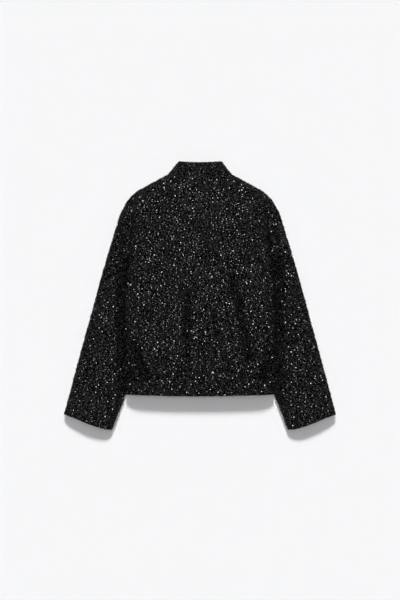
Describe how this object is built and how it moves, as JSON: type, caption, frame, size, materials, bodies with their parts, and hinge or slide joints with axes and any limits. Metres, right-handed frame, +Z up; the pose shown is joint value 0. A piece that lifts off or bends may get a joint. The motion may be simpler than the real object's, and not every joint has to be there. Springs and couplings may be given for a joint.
{
  "type": "sequin blouson",
  "caption": "Cropped black blouson in sequinned boucle cloth with a stand collar, full sleeves and an even hem band, laid out flat with its back uppermost.",
  "frame": {"origin": "under the middle of the jacket's outline, on the surface that it lies on", "axes": "+Z up from the surface, out of the back of the jacket; +Y up the jacket towards the collar; +X to the wearer's right"},
  "size_m": [0.7324, 0.7222, 0.0477],
  "materials": {
    "sequin_boucle": "matt black boucle knit scattered with small glossy black sequins"
  },
  "bodies": {
    "root": {"back": "sequin_boucle", "front_right": "sequin_boucle", "front_left": "sequin_boucle", "sleeve_right": "sequin_boucle", "sleeve_left": "sequin_boucle", "collar": "sequin_boucle", "hem_band_back": "sequin_boucle", "hem_band_front_right": "sequin_boucle", "hem_band_front_left": "sequin_boucle"}
  },
  "joints": []
}
